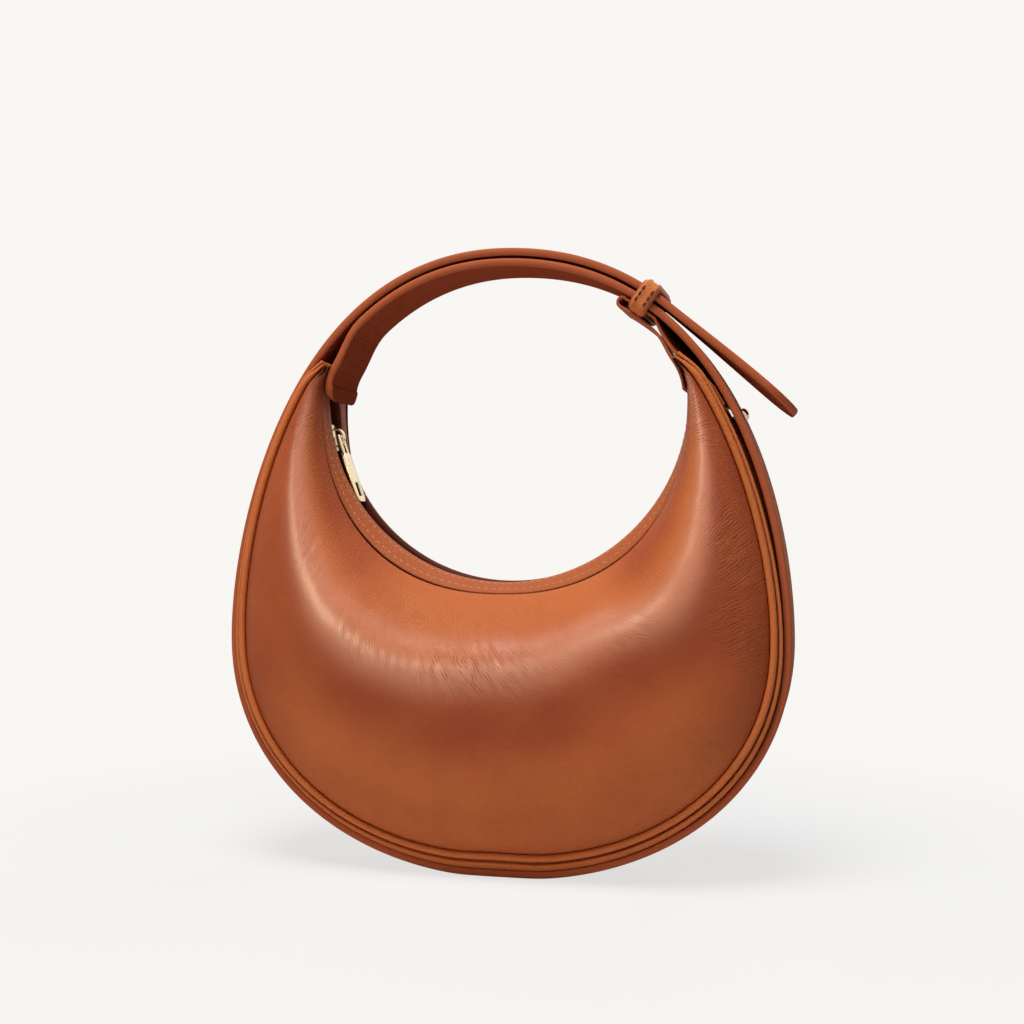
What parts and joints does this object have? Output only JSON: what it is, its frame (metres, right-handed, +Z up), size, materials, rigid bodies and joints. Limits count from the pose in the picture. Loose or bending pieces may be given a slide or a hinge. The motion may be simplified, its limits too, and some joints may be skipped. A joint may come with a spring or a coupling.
{
  "type": "crescent handbag",
  "caption": "Small crescent leather handbag with puffed panels, a curved zip in the mouth and a wrap-around belt that doubles over the top as the handle, held by a keeper with a free tail.",
  "frame": {"origin": "middle of the flat that the bag stands on, under the middle of the bag", "axes": "+Z up, +X to the bag's right as seen from the front, +Y towards the back, so the front faces -Y"},
  "size_m": [0.2346, 0.0844, 0.2545],
  "materials": {
    "panel_leather": "soft tan leather with a fine pebble grain and a low sheen",
    "belt_leather": "firm tan belt leather with painted edges",
    "lining_cloth": "woven cotton lining",
    "zip_cloth": "brown woven zip tape",
    "zip_coil": "dark brown nylon zip coil",
    "board": "fibre stiffener board",
    "gold_metal": "polished pale gold plating"
  },
  "bodies": {
    "bag": {"front_panel": "panel_leather", "back_panel": "panel_leather", "front_lining": "lining_cloth", "back_lining": "lining_cloth", "slip_pocket": "lining_cloth", "front_piping": "panel_leather", "back_piping": "panel_leather", "gusset": "panel_leather", "gusset_stiffener": "board", "gusset_lining": "lining_cloth", "front_facing": "panel_leather", "back_facing": "panel_leather", "zip_tape_front": "zip_cloth", "zip_tape_back": "zip_cloth", "zip_chain_front": "zip_coil", "zip_chain_back": "zip_coil", "zip_top_stop": "gold_metal", "zip_bottom_stop": "gold_metal", "zip_end_tab": "belt_leather", "belt_stud": "gold_metal", "stud_washer": "gold_metal", "perimeter_belt": "belt_leather", "belt_flex_left": "belt_leather", "belt_flex_right": "belt_leather", "belt_inner_end": "belt_leather", "keeper_chape": "belt_leather"},
    "handle": {"handle_inner_layer": "belt_leather", "handle_outer_layer": "belt_leather", "keeper_loop": "belt_leather"},
    "tail": {"belt_tail": "belt_leather"},
    "slider": {"zip_slider": "gold_metal", "zip_bail": "gold_metal"},
    "puller": {"zip_puller": "gold_metal"}
  },
  "joints": [
    {"name": "zip_travel", "type": "hinge", "parent": "bag", "child": "slider", "pos_m": [0, 0, 0.1947], "axis": [0, -1, 0], "range_deg": [0, 136]},
    {"name": "puller_swing", "type": "hinge", "parent": "slider", "child": "puller", "pos_m": [-0.07365, 0, 0.17976], "axis": [0, -1, 0], "range_deg": [0, 115]},
    {"name": "handle_tilt", "type": "hinge", "parent": "bag", "child": "handle", "pos_m": [0, 0, 0.2], "axis": [1, 0, 0], "range_deg": [-25, 25], "stiffness_Nm_per_rad": 0.6, "deforming": ["belt_flex_left", "belt_flex_right", "belt_inner_end", "keeper_chape"]},
    {"name": "tail_flex", "type": "hinge", "parent": "handle", "child": "tail", "pos_m": [0.067, 0, 0.23001], "axis": [0, -1, 0], "range_deg": [-1.5, 60], "stiffness_Nm_per_rad": 0.1}
  ]
}
